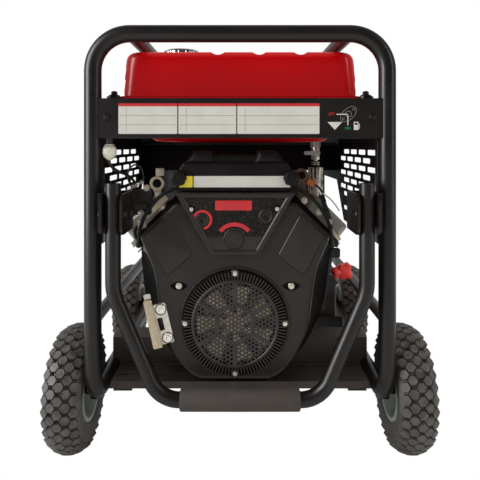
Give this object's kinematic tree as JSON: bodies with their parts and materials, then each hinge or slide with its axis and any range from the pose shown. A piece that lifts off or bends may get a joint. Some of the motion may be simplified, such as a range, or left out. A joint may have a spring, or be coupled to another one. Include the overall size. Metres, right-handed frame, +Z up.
{
  "type": "portable generator",
  "caption": "Open-frame petrol generator: V-twin engine and alternator in a tubular cage with a red tank, pneumatic wheels and a fold-down pull handle.",
  "frame": {"origin": "on the floor under the middle of the overall box", "axes": "+X to the right seen from the engine end, +Y from the engine end to the rear, +Z up"},
  "size_m": [0.8004, 0.966, 0.8801],
  "materials": {
    "frame_paint": "gloss black powder coat",
    "tank_paint": "gloss red enamel",
    "tyre_rubber": "matt black rubber",
    "rim_paint": "grey-silver paint",
    "mount_rubber": "matt black rubber",
    "grip_foam": "closed-cell foam",
    "boot_red": "soft red vinyl",
    "housing_plastic": "black moulding, light texture",
    "panel_paint": "satin black",
    "cast_alloy": "as-cast alloy",
    "zinc_steel": "bright zinc plate",
    "cap_chrome": "polished plate",
    "muffler_steel": "aluminised, heat-dulled",
    "filter_paint": "satin black",
    "connector_ivory": "ivory nylon",
    "rotor_iron": "laminated steel"
  },
  "bodies": {
    "frame": {"air_cleaner_cover": "housing_plastic", "alternator_housing": "cast_alloy", "battery": "housing_plastic", "battery_shelf": "frame_paint", "blower_housing": "housing_plastic", "carburettor": "cast_alloy", "control_box": "housing_plastic", "control_panel": "panel_paint", "crankcase": "cast_alloy", "cylinders": "cast_alloy", "engine_brackets": "zinc_steel", "fan_guard": "housing_plastic", "frame_bolts": "zinc_steel", "front_apron": "frame_paint", "front_crossbar": "frame_paint", "front_fascia": "housing_plastic", "front_hoop": "frame_paint", "fuel_hose": "mount_rubber", "fuel_valve": "zinc_steel", "handle_brackets": "frame_paint", "heat_shield": "frame_paint", "housing_screws": "zinc_steel", "lead_connector": "connector_ivory", "left_side_guard": "frame_paint", "muffler": "muffler_steel", "oil_filter": "filter_paint", "rear_apron": "frame_paint", "rear_hoop": "frame_paint", "right_side_guard": "frame_paint", "risers": "frame_paint", "rubber_mounts": "mount_rubber", "side_rails": "frame_paint", "sockets": "housing_plastic", "starter_motor": "filter_paint", "stub_axles": "frame_paint", "tank_pan": "tank_paint", "tank_rails": "frame_paint", "tank_shell": "tank_paint", "terminal_boot": "boot_red", "top_rails": "frame_paint", "valve_covers": "cast_alloy", "wiring_leads": "mount_rubber"},
    "handle": {"handle_tube": "frame_paint", "handle_grip": "grip_foam"},
    "crank_train": {"flywheel_fan": "cast_alloy", "crankshaft_rotor": "rotor_iron"},
    "filler_cap": {"fuel_cap": "cap_chrome"},
    "valve_lever": {"fuel_valve_lever": "zinc_steel"},
    "left_knob": {"left_cover_knob": "housing_plastic"},
    "right_knob": {"right_cover_knob": "housing_plastic"},
    "starter_switch": {"start_switch": "housing_plastic"},
    "breaker": {"main_breaker": "housing_plastic"},
    "front_left_wheel": {"front_left_tyre": "tyre_rubber", "front_left_rim": "rim_paint"},
    "front_right_wheel": {"front_right_tyre": "tyre_rubber", "front_right_rim": "rim_paint"},
    "rear_left_wheel": {"rear_left_tyre": "tyre_rubber", "rear_left_rim": "rim_paint"},
    "rear_right_wheel": {"rear_right_tyre": "tyre_rubber", "rear_right_rim": "rim_paint"}
  },
  "joints": [
    {"name": "handle_pivot", "type": "hinge", "parent": "frame", "child": "handle", "pos_m": [0, -0.461, 0.511], "axis": [-1, 0, 0], "range_deg": [0, 90]},
    {"name": "crank_spin", "type": "hinge", "parent": "frame", "child": "crank_train", "pos_m": [-0.01, -0.335, 0.286], "axis": [0, 1, 0], "continuous": true},
    {"name": "front_left_wheel_spin", "type": "hinge", "parent": "frame", "child": "front_left_wheel", "pos_m": [-0.358, -0.345, 0.129], "axis": [1, 0, 0], "continuous": true},
    {"name": "front_right_wheel_spin", "type": "hinge", "parent": "frame", "child": "front_right_wheel", "pos_m": [0.358, -0.345, 0.129], "axis": [1, 0, 0], "continuous": true},
    {"name": "rear_left_wheel_spin", "type": "hinge", "parent": "frame", "child": "rear_left_wheel", "pos_m": [-0.358, 0.24, 0.129], "axis": [1, 0, 0], "continuous": true},
    {"name": "rear_right_wheel_spin", "type": "hinge", "parent": "frame", "child": "rear_right_wheel", "pos_m": [0.358, 0.24, 0.129], "axis": [1, 0, 0], "continuous": true},
    {"name": "fuel_cap_twist", "type": "hinge", "parent": "frame", "child": "filler_cap", "pos_m": [-0.132, -0.275, 0.833], "axis": [0, 0, 1], "range_deg": [0, 90]},
    {"name": "fuel_valve_turn", "type": "hinge", "parent": "frame", "child": "valve_lever", "pos_m": [0.184, -0.201, 0.625], "axis": [0, -1, 0], "range_deg": [0, 90]},
    {"name": "left_knob_turn", "type": "hinge", "parent": "frame", "child": "left_knob", "pos_m": [-0.124, -0.405, 0.577], "axis": [0, -1, 0], "continuous": true},
    {"name": "right_knob_turn", "type": "hinge", "parent": "frame", "child": "right_knob", "pos_m": [0.104, -0.405, 0.577], "axis": [0, -1, 0], "continuous": true},
    {"name": "start_switch_turn", "type": "hinge", "parent": "frame", "child": "starter_switch", "pos_m": [-0.273, 0.097, 0.599], "axis": [-1, 0, 0], "range_deg": [0, 60]},
    {"name": "main_breaker_throw", "type": "hinge", "parent": "frame", "child": "breaker", "pos_m": [-0.263, 0.097, 0.515], "axis": [0, 1, 0], "range_deg": [0, 40]}
  ]
}
